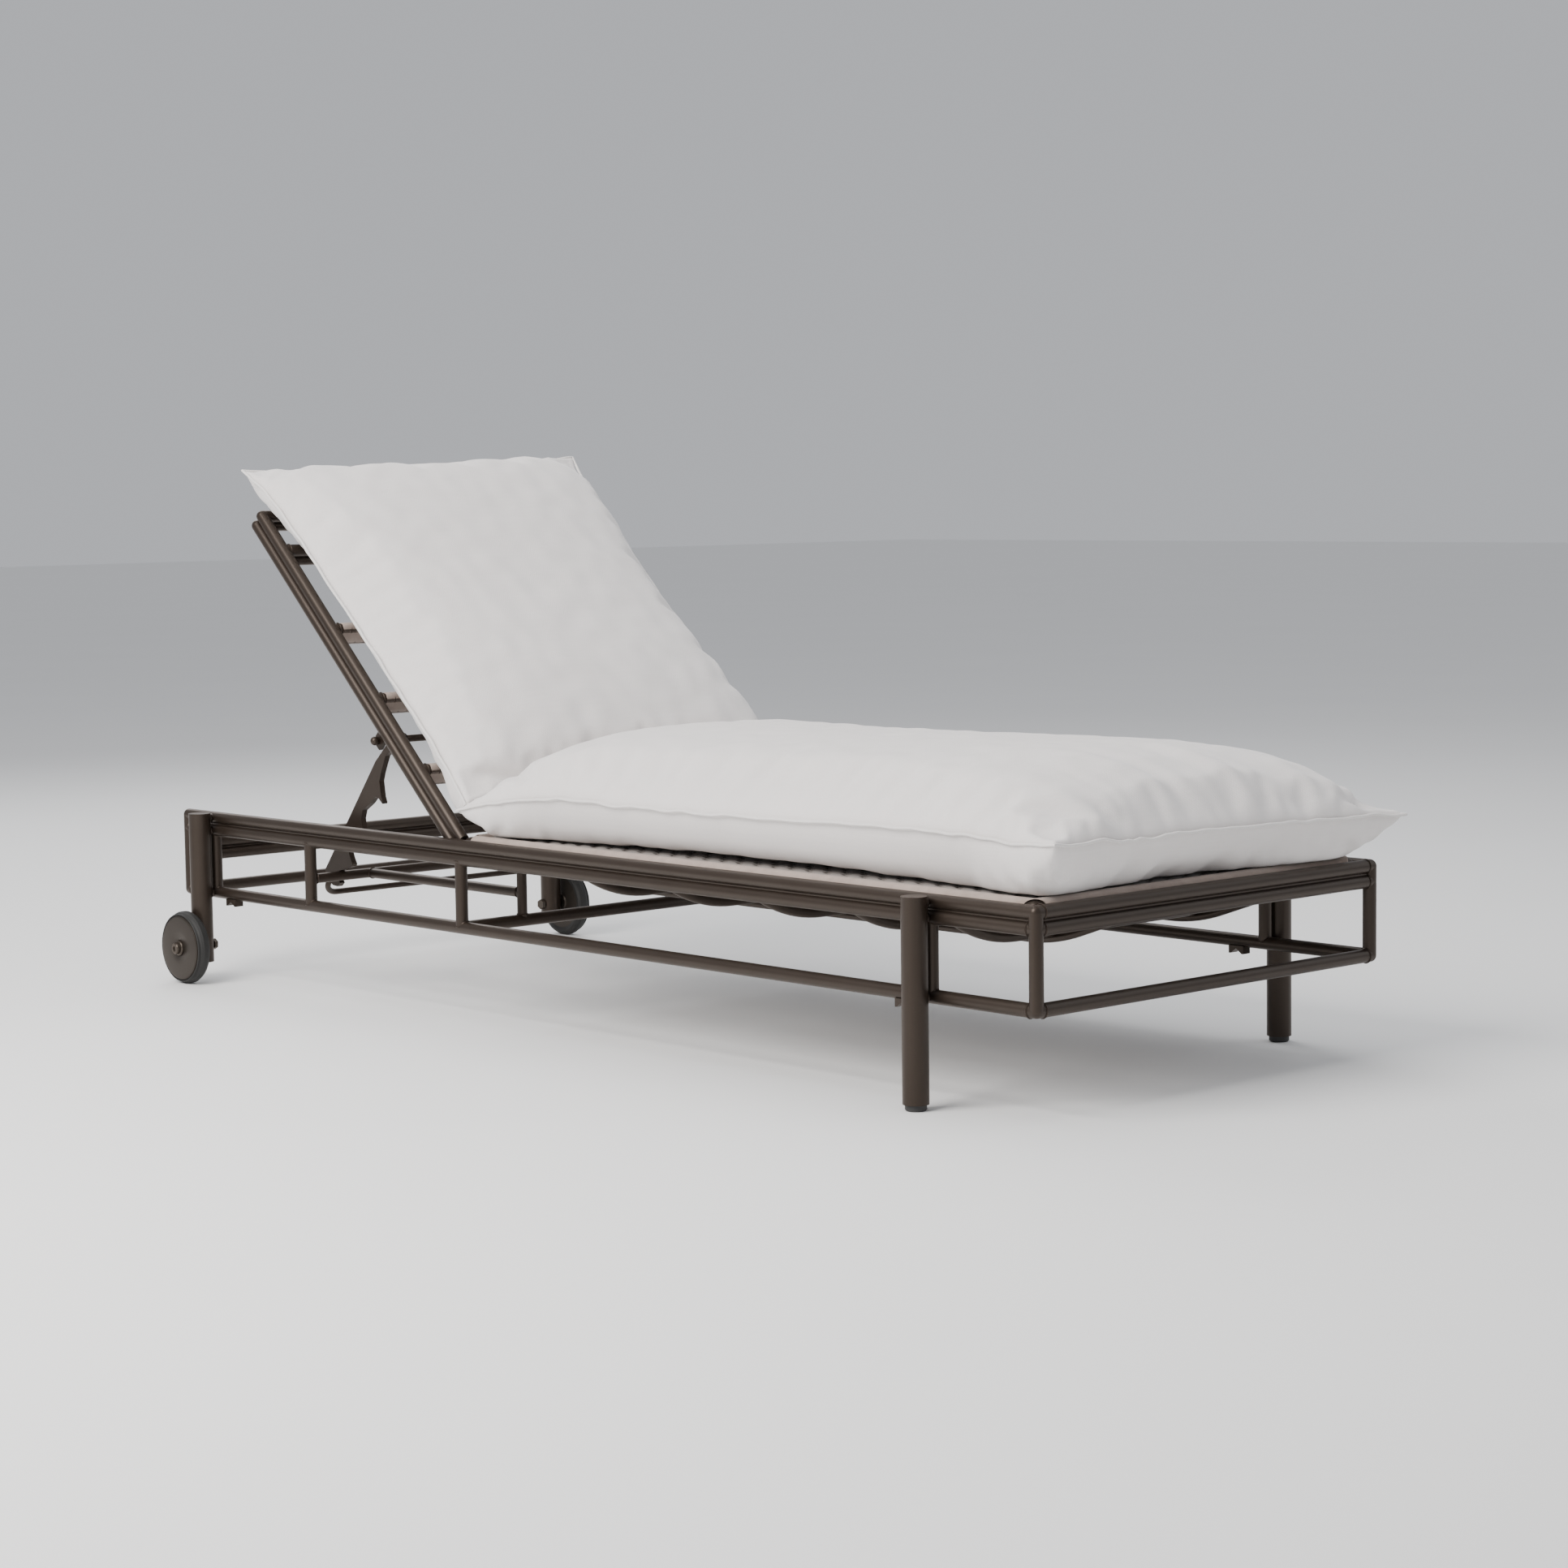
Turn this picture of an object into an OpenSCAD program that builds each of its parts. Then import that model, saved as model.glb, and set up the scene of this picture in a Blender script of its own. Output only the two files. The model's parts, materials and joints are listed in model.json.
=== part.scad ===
// Reclining sun lounger: welded tube frame on two legs and two wheels, rope deck,
// hinged back held by a pair of notched arms, and two loose cushions.
// +Z up, the foot end towards -Y and the head end towards +Y. Millimetres.

/* [Frame] */
// Length of the frame between the centres of its end tubes
rail_l = 2030; // [1960:5:2060]
// Width of the frame between the centres of its side tubes
rail_w = 705; // [695:5:730]
// Height of the upper rail's centre
rail_z = 283; // [281:1:286]
// Distance between the centres of two paired tubes
pair_pitch = 22; // [21:0.5:24]
// Height of the lower stretcher's centre
stretcher_z = 152.5; // [145:0.5:160]
// Diameter of the frame tube
tube_d = 20; // [19:0.5:21]
// Diameter of the light inner tube
slim_d = 16.4; // [15:0.2:17]

/* [Legs and wheels] */
// Diameter of a leg
leg_d = 37; // [34:1:40]
// Leg centre outboard of the side tube's centre
leg_off = 32.5; // [31:0.5:36]
// Distance from the foot end to the front legs
front_leg_in = 194; // [180:1:210]
// Distance from the head end to the rear legs
rear_leg_in = 82; // [75:1:90]
// Diameter of a wheel
wheel_d = 125; // [118:1:130]
// Width of a wheel
wheel_w = 25; // [22:1:28]
// Diameter of the wheel bolt
bolt_d = 10; // [8:1:12]

/* [Deck] */
// Number of bows under the rope deck
bow_count = 5; // [4:1:5]
// Distance between two bows
bow_pitch = 195; // [180:5:200]
// Height of a bow's flat middle
bow_z = 225.5; // [222:0.5:230]
// Thickness of the rope
rope_d = 3; // [2:0.2:4]

/* [Back] */
// Angle of the back above level, in degrees
recline = 43.4; // [40:0.2:46]
// Distance from the hinge to the top tube's centre
back_l = 761; // [740:1:780]
// Angle of the notched arms below level, in degrees
arm_lean = 51.4; // [50:0.2:53]
// Thickness of a notched arm
arm_t = 10; // [8:1:12]

/* [Cushions] */
// Thickness of the seat cushion
seat_t = 155; // [130:5:170]
// Thickness of the back cushion
back_t = 120; // [100:5:140]
// Width of both cushions
cushion_w = 726; // [700:2:740]

/* [Hidden] */
$fn = 48;

eps = 0.01;
bronze = [0.30, 0.27, 0.245];
rope_tan = [0.62, 0.54, 0.49];
canvas = [0.90, 0.88, 0.87];
black = [0.12, 0.12, 0.12];

// Frame positions. The seat cushion overhangs the foot end, so the frame is
// shifted towards the head to put the middle of the whole length at Y = 0.
frame_shift = 25;
foot_y = frame_shift - rail_l / 2;
head_y = foot_y + rail_l;
side_x = rail_w / 2;
low_z = rail_z - pair_pitch;
rail_top = rail_z + tube_d / 2;
head_drop = 52;
front_leg_y = foot_y + front_leg_in;
rear_leg_y = head_y - rear_leg_in;
leg_x = side_x + leg_off;
mid_post_y = head_y - 368;
hinge_post_y = head_y - 785;
post_ys = [front_leg_y, hinge_post_y, mid_post_y, rear_leg_y];
inner_x = 231.5;
support_z = 197.4;
stub_d = 14;
glide_h = 9;
leg_lift = 34;
wheel_gap = 3;

// Deck positions
deck_x = side_x - tube_d / 2 - rope_d - slim_d / 2 - 2;
deck_z = rail_z + 2;
deck_d = tube_d;
deck_foot_y = foot_y + side_x - deck_x;
deck_head_y = hinge_post_y + 2;
wrap_end = deck_head_y - 12;
bow_y0 = foot_y + 158;
bow_flat = 225;
bow_r = 229;
bow_a = 31.5;
runner_x = 150;
runner_d = 12;
runner_ball_d = runner_d + 1;
runner_z = bow_z - slim_d / 2 - runner_d / 2 - 0.05;
runner_y0 = bow_y0 - 3;
runner_y1 = hinge_post_y - 147;

// Back positions, in the back's own frame: along it from the hinge, and up from
// the plane midway between its front and rear tubes.
hinge_y = head_y - 761.5;
hinge_z = (rail_z + low_z) / 2;
back_x = side_x - 24.5;
lug_r = 13;
lug_w = 18;
pin_d = 10;
running = 0.05;
brace_at = back_l - 84;
slat_ats = [165, 326, 488];
rod_at = 278;
rod_off = -37;
rod_d = 12;

// Arm positions, in the arm's own frame: along it from the rod, and up behind it
arm_x = 288;
rod_y = hinge_y + rod_at * cos(recline) - rod_off * sin(recline);
rod_z = hinge_z + rod_at * sin(recline) + rod_off * cos(recline);
rest_notch = in_arm(mid_post_y - rod_y, support_z - rod_z, arm_lean);
flat_arm = 7.6;
flat_notch = in_arm(mid_post_y - hinge_y - rod_at, support_z - hinge_z - rod_off, flat_arm);
mid_notch = (rest_notch + flat_notch) / 2;
notch_r = slim_d / 2 + 0.5;
bail_d = 10;
bail_at = 352;
bail_bend = 25;

function in_arm(y, z, lean) = [y * cos(lean) - z * sin(lean), y * sin(lean) + z * cos(lean)];

module tube_x(x0, x1, d) {
    translate([x0, 0, 0]) rotate([0, 90, 0]) cylinder(h = x1 - x0, d = d);
}

module tube_y(y0, y1, d) {
    translate([0, y0, 0]) rotate([-90, 0, 0]) rotate([0, 0, 90]) cylinder(h = y1 - y0, d = d);
}

module tube_z(z0, z1, d) {
    translate([0, 0, z0]) cylinder(h = z1 - z0, d = d);
}

// A quarter or less of a bent tube, starting level at the bottom of its circle
module bend(r, a, d) {
    rotate([90, 0, 0]) rotate([0, 0, -90]) rotate_extrude(angle = a) translate([r, 0]) circle(d = d);
}

// Puts a part of the back at its recline angle
module on_back() {
    translate([0, hinge_y, hinge_z]) rotate([recline, 0, 0]) children();
}

// Puts a part of the arms at their rest angle
module on_arms() {
    translate([0, rod_y, rod_z]) rotate([-arm_lean, 0, 0]) children();
}

// ---- frame ----

module corner_post(x, y) {
    translate([x, y, 0]) {
        tube_z(stretcher_z, rail_z, tube_d);
        translate([0, 0, rail_z]) sphere(d = tube_d);
        translate([0, 0, stretcher_z]) sphere(d = tube_d);
    }
}

module corner_posts() {
    color(bronze)
        for (x = [-side_x, side_x], y = [foot_y, head_y])
            corner_post(x, y);
}

module side_bar(x, z) {
    color(bronze)
        difference() {
            translate([x, 0, z]) tube_y(foot_y, head_y, tube_d);
            corner_post(x, foot_y);
            corner_post(x, head_y);
        }
}

module end_bar(y, z) {
    color(bronze)
        difference() {
            translate([0, y, z]) tube_x(-side_x, side_x, tube_d);
            corner_post(-side_x, y);
            corner_post(side_x, y);
        }
}

module upper_rail_left() { side_bar(-side_x, rail_z); }

module upper_rail_right() { side_bar(side_x, rail_z); }

module lower_rail_left() { side_bar(-side_x, low_z); }

module lower_rail_right() { side_bar(side_x, low_z); }

module stretcher_left() { side_bar(-side_x, stretcher_z); }

module stretcher_right() { side_bar(side_x, stretcher_z); }

module foot_rails() {
    for (z = [rail_z, low_z]) end_bar(foot_y, z);
}

module head_rails() {
    for (z = [rail_z, low_z]) end_bar(head_y, z - head_drop);
}

module foot_stretcher() { end_bar(foot_y, stretcher_z); }

module head_stretcher() { end_bar(head_y, stretcher_z); }

// The tubes along one side, as a cutter for what is welded to them
module side_tubes(x) {
    for (z = [low_z, stretcher_z])
        translate([x, 0, z]) tube_y(foot_y, head_y, tube_d);
}

module cross_stretcher() {
    color(bronze)
        difference() {
            translate([0, hinge_post_y, stretcher_z]) tube_x(-side_x, side_x, tube_d);
            side_tubes(-side_x);
            side_tubes(side_x);
        }
}

module side_posts(x) {
    color(bronze)
        difference() {
            for (y = post_ys)
                translate([x, y, 0]) tube_z(stretcher_z, low_z, tube_d);
            side_tubes(x);
        }
}

module side_posts_left() { side_posts(-side_x); }

module side_posts_right() { side_posts(side_x); }

module support_tube() {
    color(bronze)
        difference() {
            translate([0, mid_post_y, support_z]) tube_x(-side_x, side_x, slim_d);
            for (x = [-side_x, side_x])
                translate([x, mid_post_y, 0]) tube_z(stretcher_z, low_z, tube_d);
        }
}

module inner_posts() {
    color(bronze)
        difference() {
            for (x = [-inner_x, inner_x])
                translate([x, hinge_post_y, 0]) tube_z(stretcher_z, deck_z, slim_d);
            translate([0, hinge_post_y, stretcher_z]) tube_x(-side_x, side_x, tube_d);
            translate([0, deck_head_y, deck_z]) tube_x(-side_x, side_x, deck_d);
        }
}

module guide_tubes() {
    color(bronze)
        difference() {
            for (x = [-inner_x, inner_x])
                translate([x, 0, support_z]) tube_y(hinge_post_y, mid_post_y, slim_d);
            translate([0, mid_post_y, support_z]) tube_x(-side_x, side_x, slim_d);
            for (x = [-inner_x, inner_x])
                translate([x, hinge_post_y, 0]) tube_z(stretcher_z, deck_z, slim_d);
        }
}

module stacking_saddles() {
    saddle_w = 28;
    saddle_h = 12;
    color(bronze)
        for (x = [-side_x, side_x], y = [front_leg_y + 50, rear_leg_y - 53])
            translate([x - 8, y, stretcher_z - tube_d / 2 - saddle_h + 2])
                difference() {
                    translate([0, -saddle_w / 2, 0]) cube([16, saddle_w, saddle_h]);
                    translate([-1, 0, 0])
                        rotate([90, 0, 90])
                        linear_extrude(18)
                        polygon([[-saddle_w / 2 + 2, -1], [0, saddle_h - 4], [saddle_w / 2 - 2, -1]]);
                    translate([8, -y, saddle_h - 2 + tube_d / 2]) tube_y(foot_y, head_y, tube_d);
                }
}

// ---- legs and wheels ----

// side is -1 on the left and 1 on the right
module leg(side, y, bottom) {
    color(bronze)
        difference() {
            translate([side * leg_x, y, 0])
                union() {
                    difference() {
                        tube_z(bottom, rail_top, leg_d);
                        tube_z(bottom - 1, bottom + 16, leg_d - 5);
                        translate([0, 0, rail_top + 148]) sphere(r = 150, $fn = 96);
                    }
                    for (z = [stretcher_z, low_z, rail_z])
                        translate([-side * leg_off / 2, 0, z])
                            tube_x(-leg_off / 2, leg_off / 2, stub_d);
                }
            for (z = [stretcher_z, low_z, rail_z])
                translate([side * side_x, 0, z]) tube_y(foot_y, head_y, tube_d);
            translate([side * side_x, y, 0]) tube_z(stretcher_z, low_z, tube_d);
            if (bottom > glide_h)
                translate([0, y, wheel_d / 2]) tube_x(-leg_x - leg_d, leg_x + leg_d, bolt_d);
        }
}

module leg_front_left() { leg(-1, front_leg_y, glide_h); }

module leg_front_right() { leg(1, front_leg_y, glide_h); }

module leg_rear_left() { leg(-1, rear_leg_y, leg_lift); }

module leg_rear_right() { leg(1, rear_leg_y, leg_lift); }

module foot_glides() {
    glide_d = leg_d - 6.5;
    color(black)
        for (x = [-leg_x, leg_x])
            translate([x, front_leg_y, 0]) {
                tube_z(2, glide_h, glide_d);
                cylinder(h = 2, d1 = glide_d - 4, d2 = glide_d, $fn = 64);
                tube_z(glide_h, glide_h + 16, leg_d - 5);
            }
}

module leg_plugs() {
    color(black)
        for (x = [-leg_x, leg_x])
            translate([x, rear_leg_y, leg_lift]) tube_z(0, 14, leg_d - 5);
}

module wheel_place(side) {
    translate([side * (leg_x + leg_d / 2 + wheel_gap + wheel_w / 2), rear_leg_y, wheel_d / 2])
        rotate([0, side * 90, 0])
        children();
}

hub_r = 48;
face_r = 55;

// The disc of a wheel, turned about its own axis, with the outer face up
module wheel_disc(side) {
    color(bronze)
        wheel_place(side)
        rotate_extrude($fn = 96)
        polygon([
            [bolt_d / 2 + running, -wheel_w / 2 - 1], [16, -wheel_w / 2 - 1],
            [18, -wheel_w / 2 + 1], [hub_r, -wheel_w / 2 + 2], [hub_r, wheel_w / 2 - 3],
            [face_r, wheel_w / 2 - 3], [face_r, wheel_w / 2 - 1], [face_r - 2, wheel_w / 2],
            [bolt_d / 2 + running, wheel_w / 2]
        ]);
}

module wheel_left() { wheel_disc(-1); }

module wheel_right() { wheel_disc(1); }

module tyre(side) {
    color(black)
        wheel_place(side)
        rotate_extrude($fn = 96)
        polygon([
            [hub_r, -wheel_w / 2 + 2], [face_r, -wheel_w / 2], [wheel_d / 2 - 3, -wheel_w / 2 + 3],
            [wheel_d / 2, -wheel_w / 2 + 8], [wheel_d / 2, wheel_w / 2 - 10],
            [wheel_d / 2 - 2, wheel_w / 2 - 6], [face_r + 2, wheel_w / 2 - 2],
            [face_r + eps, wheel_w / 2 - 3], [hub_r, wheel_w / 2 - 3]
        ]);
}

module tyre_left() { tyre(-1); }

module tyre_right() { tyre(1); }

module axle_bolts() {
    inner_end = leg_d / 2 + 7;
    face = leg_d / 2 + wheel_gap + wheel_w + 0.5;
    color(bronze)
        for (side = [-1, 1])
            translate([side * leg_x, rear_leg_y, wheel_d / 2])
                rotate([0, side * 90, 0])
                union() {
                    tube_z(-inner_end, face, bolt_d);
                    tube_z(face, face + 2.5, 26);
                    tube_z(face + 2.5, face + 9, 20);
                    translate([0, 0, -inner_end]) cylinder(h = 6, d = 19, $fn = 6);
                }
}

// ---- deck ----

module deck_side(side) {
    color(bronze)
        translate([side * deck_x, 0, deck_z]) {
            tube_y(deck_foot_y, deck_head_y, deck_d);
            for (y = [deck_foot_y, deck_head_y]) translate([0, y, 0]) sphere(d = deck_d);
        }
}

module deck_end(y) {
    color(bronze)
        difference() {
            translate([0, y, deck_z]) tube_x(-deck_x, deck_x, deck_d);
            for (side = [-1, 1]) deck_side(side);
        }
}

module deck_tube_left() { deck_side(-1); }

module deck_tube_right() { deck_side(1); }

module deck_tube_foot() { deck_end(deck_foot_y); }

module deck_tube_head() { deck_end(deck_head_y); }

module bow(y) {
    difference() {
        translate([0, y, bow_z]) {
            tube_x(-bow_flat, bow_flat, slim_d);
            for (side = [0, 1])
                mirror([side, 0, 0])
                    translate([bow_flat, 0, bow_r]) bend(bow_r, bow_a, slim_d);
        }
        side_tubes(-side_x);
        side_tubes(side_x);
    }
}

module seat_bows() {
    color(bronze)
        for (i = [0 : bow_count - 1]) bow(bow_y0 + i * bow_pitch);
}

// A long rod under the bows that turns up to the end tubes
module seat_runner(x) {
    translate([x, 0, runner_z]) {
        tube_y(runner_y0, runner_y1, runner_d);
        translate([0, runner_y0, 0]) runner_end(180 - 19, 162);
        translate([0, runner_y1, 0]) runner_end(25, 166);
    }
}

// The turned-up end of a runner, with a weld ball at the bend
module runner_end(a, tail) {
    sphere(d = runner_ball_d);
    rotate([a, 0, 0]) tube_y(0, tail, runner_d);
}

module seat_runners() {
    color(bronze)
        difference() {
            for (x = [-runner_x, runner_x]) seat_runner(x);
            for (z = [rail_z, low_z]) translate([0, foot_y, z]) tube_x(-side_x, side_x, tube_d);
            translate([0, deck_head_y, deck_z]) tube_x(-side_x, side_x, deck_d);
        }
}

module rope_sleeve(len) {
    rotate([-90, 0, 0])
        difference() {
            cylinder(h = len, d = deck_d + 2 * rope_d);
            translate([0, 0, -1]) cylinder(h = len + 2, d = deck_d);
        }
}

module rope_side(side) {
    corner = deck_d / 2 + rope_d;
    color(rope_tan)
        translate([side * deck_x, deck_foot_y + corner, deck_z])
        rope_sleeve(wrap_end - deck_foot_y - corner);
}

module rope_end(y) {
    corner = deck_d / 2 + rope_d;
    color(rope_tan)
        translate([deck_x - corner, y, deck_z])
        rotate([0, 0, 90])
        rope_sleeve(2 * (deck_x - corner));
}

module rope_wrap_left() { rope_side(-1); }

module rope_wrap_right() { rope_side(1); }

module rope_wrap_foot() { rope_end(deck_foot_y); }

// The head sleeve is opened where the inner posts and the runners meet the tube
module rope_wrap_head() {
    difference() {
        rope_end(deck_head_y);
        for (x = [-runner_x, runner_x]) seat_runner(x);
        for (x = [-inner_x, inner_x])
            translate([x, hinge_post_y, 0]) tube_z(stretcher_z, deck_z, slim_d);
    }
}

// The woven deck: strands that run from tube to tube, level with their tops
module seat_weave() {
    over = 5;
    wrap_d = deck_d + 2 * rope_d;
    color(rope_tan)
        difference() {
            translate([-deck_x + over, deck_foot_y + over, deck_z + 4])
                cube([2 * (deck_x - over), deck_head_y - deck_foot_y - 2 * over, 8]);
            for (x = [-deck_x, deck_x])
                translate([x, 0, deck_z]) tube_y(deck_foot_y - 20, deck_head_y + 20, wrap_d);
            for (y = [deck_foot_y, deck_head_y])
                translate([0, y, deck_z]) tube_x(-side_x, side_x, wrap_d);
        }
}

// ---- back ----

module hinge_bracket(side) {
    plate_x = side_x - tube_d / 2;
    color(bronze)
        difference() {
            translate([side * plate_x, hinge_y, hinge_z])
                rotate([0, -side * 90, 0])
                union() {
                    translate([-20, -15, -1]) cube([40, 30, 3.5]);
                    tube_z(0, 24, pin_d);
                }
            for (z = [low_z, rail_z])
                translate([side * side_x, 0, z]) tube_y(foot_y, head_y, tube_d);
        }
}

// Rubber stops that the lowered back rests on
module head_bumpers() {
    color(black)
        difference() {
            for (x = [-back_x, back_x])
                translate([x, head_y, rail_z - head_drop]) tube_z(0, tube_d / 2 + 8.5, 18);
            head_rails();
        }
}

module hinge_bracket_left() { hinge_bracket(-1); }

module hinge_bracket_right() { hinge_bracket(1); }

module back_side(side) {
    lug_x = side * back_x;
    color(bronze)
        on_back()
        difference() {
            translate([lug_x, 0, 0])
                union() {
                    for (up = [-1, 1])
                        translate([0, 0, up * pair_pitch / 2]) {
                            tube_y(12, back_l, tube_d);
                            translate([0, back_l, 0]) sphere(d = tube_d);
                        }
                    tube_x(-lug_w / 2, lug_w / 2, 2 * lug_r);
                    translate([-lug_w / 2, 0, -lug_r]) cube([lug_w, 24, 2 * lug_r]);
                    translate([-side * 6 - 4, rod_at - 11, rod_off - 11]) cube([8, 22, 24]);
                }
            tube_x(-side_x, side_x, pin_d + 2 * running);
            translate([0, rod_at, rod_off]) tube_x(-side_x, side_x, rod_d);
        }
}

module back_side_left() { back_side(-1); }

module back_side_right() { back_side(1); }

// A front and a rear cross tube at one place on the back
module back_pair(at) {
    color(bronze)
        on_back()
        difference() {
            for (up = [-1, 1])
                translate([0, at, up * pair_pitch / 2]) tube_x(-back_x, back_x, tube_d);
            for (x = [-back_x, back_x], up = [-1, 1])
                translate([x, 0, up * pair_pitch / 2]) {
                    tube_y(12, back_l, tube_d);
                    translate([0, back_l, 0]) sphere(d = tube_d);
                }
        }
}

module back_top_tubes() { back_pair(back_l); }

module back_upper_tubes() { back_pair(brace_at); }

module back_slat_1() { back_pair(slat_ats[0]); }

module back_slat_2() { back_pair(slat_ats[1]); }

module back_slat_3() { back_pair(slat_ats[2]); }

// Rope wound round both tubes of a slat
module slat_wrap(at) {
    wrap_w = 2 * back_x - tube_d - 24;
    wrap_t = 1.8;
    color(rope_tan)
        on_back()
        translate([-wrap_w / 2, at, 0])
        rotate([0, 90, 0])
        difference() {
            union() {
                for (up = [-1, 1])
                    translate([up * pair_pitch / 2, 0, 0]) cylinder(h = wrap_w, d = tube_d + 2 * wrap_t);
                translate([-pair_pitch / 2, -tube_d / 2 - wrap_t, 0])
                    cube([pair_pitch, tube_d + 2 * wrap_t, wrap_w]);
            }
            for (up = [-1, 1])
                translate([up * pair_pitch / 2, 0, -1]) cylinder(h = wrap_w + 2, d = tube_d);
        }
}

module slat_wrap_1() { slat_wrap(slat_ats[0]); }

module slat_wrap_2() { slat_wrap(slat_ats[1]); }

module slat_wrap_3() { slat_wrap(slat_ats[2]); }

// Cross rod that carries the arms, with a round cap at each end
module arm_rod() {
    rod_l = back_x + 5.5;
    collar_w = 6;
    color(bronze)
        on_back()
        translate([0, rod_at, rod_off]) {
            tube_x(-rod_l, rod_l, rod_d);
            for (side = [-1, 1]) {
                translate([side * rod_l, 0, 0]) sphere(d = 15);
                for (gap = [-1, 1])
                    translate([side * arm_x + gap * (arm_t / 2 + 2.5 + collar_w / 2), 0, 0])
                        tube_x(-collar_w / 2, collar_w / 2, 20);
            }
        }
}

// ---- arms ----

// One saw tooth: front slope, tip and throat, for a notch centred at p
function tooth(p) = [
    [p[0] - 48, p[1] + 19], [p[0] - 34, p[1] + 14], [p[0] - 16.5, p[1] - 5],
    [p[0] - 12, p[1] - 13.5], [p[0] - 9.2, p[1] - 14.5], [p[0] - 9.5, p[1] - 2],
    [p[0] - 6.8, p[1] + 6.8], [p[0] + 1, p[1] + 9.3], [p[0] + 12, p[1] + 11], [p[0] + 22, p[1] + 14.5]
];

// The last tooth leans away, so that the tube can leave its notch
function last_tooth(p) = [
    [p[0] - 54, p[1] + 14], [p[0] - 44, p[1] - 4], [p[0] - 40, p[1] - 14.5],
    [p[0] - 36, p[1] - 15], [p[0] - 27, p[1] - 10], [p[0] - 16, p[1] - 2],
    [p[0] - 6, p[1] + 7], [p[0] + 1, p[1] + 9]
];

module arm_plate() {
    rear = 20;
    tail = rest_notch[0] + 28;
    rotate([90, 0, 90])
        linear_extrude(arm_t, center = true)
        polygon(concat(
            [[-6, 8], [10, 11], [46, 16.5], [66, rear], [tail - 8, rear], [tail, rear - 6],
             [tail, -12], [tail - 8, -24], [rest_notch[0] + 10, -26], [rest_notch[0] + 9, rest_notch[1] + 2],
             [rest_notch[0] + 6, rest_notch[1] + 7]],
            [for (i = [7 : -1 : 0]) last_tooth(rest_notch)[i]],
            [for (i = [9 : -1 : 0]) tooth(mid_notch)[i]],
            [for (i = [9 : -1 : 0]) tooth(flat_notch)[i]],
            [[40, 4], [8, -9], [-6, -8]]
        ));
}

module arm(side) {
    color(bronze)
        on_arms()
        translate([side * arm_x, 0, 0])
        difference() {
            union() {
                arm_plate();
                tube_x(-arm_t / 2 - 2, arm_t / 2 + 2, 22);
            }
            tube_x(-arm_t, arm_t, rod_d + 2 * running);
        }
}

module arm_left() { arm(-1); }

module arm_right() { arm(1); }

module arm_bail() {
    leg_start = rest_notch[0] + 28;
    leg_end = bail_at - bail_bend;
    run_x = arm_x - bail_bend;
    color(bronze)
        on_arms()
        translate([0, 0, 4])
        union() {
            translate([0, bail_at, 0]) tube_x(-run_x, run_x, bail_d);
            for (side = [0, 1])
                mirror([side, 0, 0]) {
                    translate([arm_x, 0, 0]) tube_y(leg_start, leg_end, bail_d);
                    translate([run_x, leg_end, 0])
                        rotate_extrude(angle = 90) translate([bail_bend, 0]) circle(d = bail_d);
                }
        }
}

// ---- cushions ----

// A pillow: a full seam outline between a smaller bottom and a smaller top
module pillow(w, y0, y1, t, seam, bottom_in, top_in) {
    hull() {
        translate([-w / 2 + bottom_in, y0 + bottom_in, 0])
            cube([w - 2 * bottom_in, y1 - y0 - 2 * bottom_in, 1]);
        translate([-w / 2, y0, seam]) cube([w, y1 - y0, 1]);
        translate([-w / 2 + top_in, y0 + top_in, t - 1])
            cube([w - 2 * top_in, y1 - y0 - 2 * top_in, 1]);
    }
}

seat_bottom = deck_z + deck_d / 2 + rope_d + 0.5;
seat_foot_y = -head_y - tube_d / 2;
seat_head_y = hinge_y - 13;
back_from = 31;
back_to = 846;
back_seat_gap = 1.5;

module seat_cushion() {
    color(canvas)
        difference() {
            translate([0, 0, seat_bottom])
                pillow(cushion_w, seat_foot_y, seat_head_y, seat_t, 62, 50, 95);
            on_back()
                translate([-cushion_w, back_from - back_seat_gap, 0])
                cube([2 * cushion_w, 400, 400]);
        }
}

module back_cushion() {
    color(canvas)
        on_back()
        translate([0, 0, pair_pitch / 2 + tube_d / 2 + 2.5])
        pillow(cushion_w, back_from, back_to, back_t, 46, 35, 55);
}

upper_rail_left();
upper_rail_right();
lower_rail_left();
lower_rail_right();
foot_rails();
head_rails();
stretcher_left();
stretcher_right();
foot_stretcher();
head_stretcher();
cross_stretcher();
support_tube();
corner_posts();
leg_front_left();
leg_front_right();
leg_rear_left();
leg_rear_right();
side_posts_left();
side_posts_right();
inner_posts();
guide_tubes();
foot_glides();
leg_plugs();
axle_bolts();
stacking_saddles();
deck_tube_left();
deck_tube_right();
deck_tube_foot();
deck_tube_head();
seat_bows();
seat_runners();
seat_weave();
rope_wrap_left();
rope_wrap_right();
rope_wrap_foot();
rope_wrap_head();
hinge_bracket_left();
hinge_bracket_right();
head_bumpers();
seat_cushion();
back_side_left();
back_side_right();
back_top_tubes();
back_upper_tubes();
back_slat_1();
back_slat_2();
back_slat_3();
slat_wrap_1();
slat_wrap_2();
slat_wrap_3();
arm_rod();
back_cushion();
arm_left();
arm_right();
arm_bail();
wheel_left();
wheel_right();
tyre_left();
tyre_right();
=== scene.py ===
import bpy
import bmesh
import json
import math
from mathutils import Vector, Matrix, noise


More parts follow.
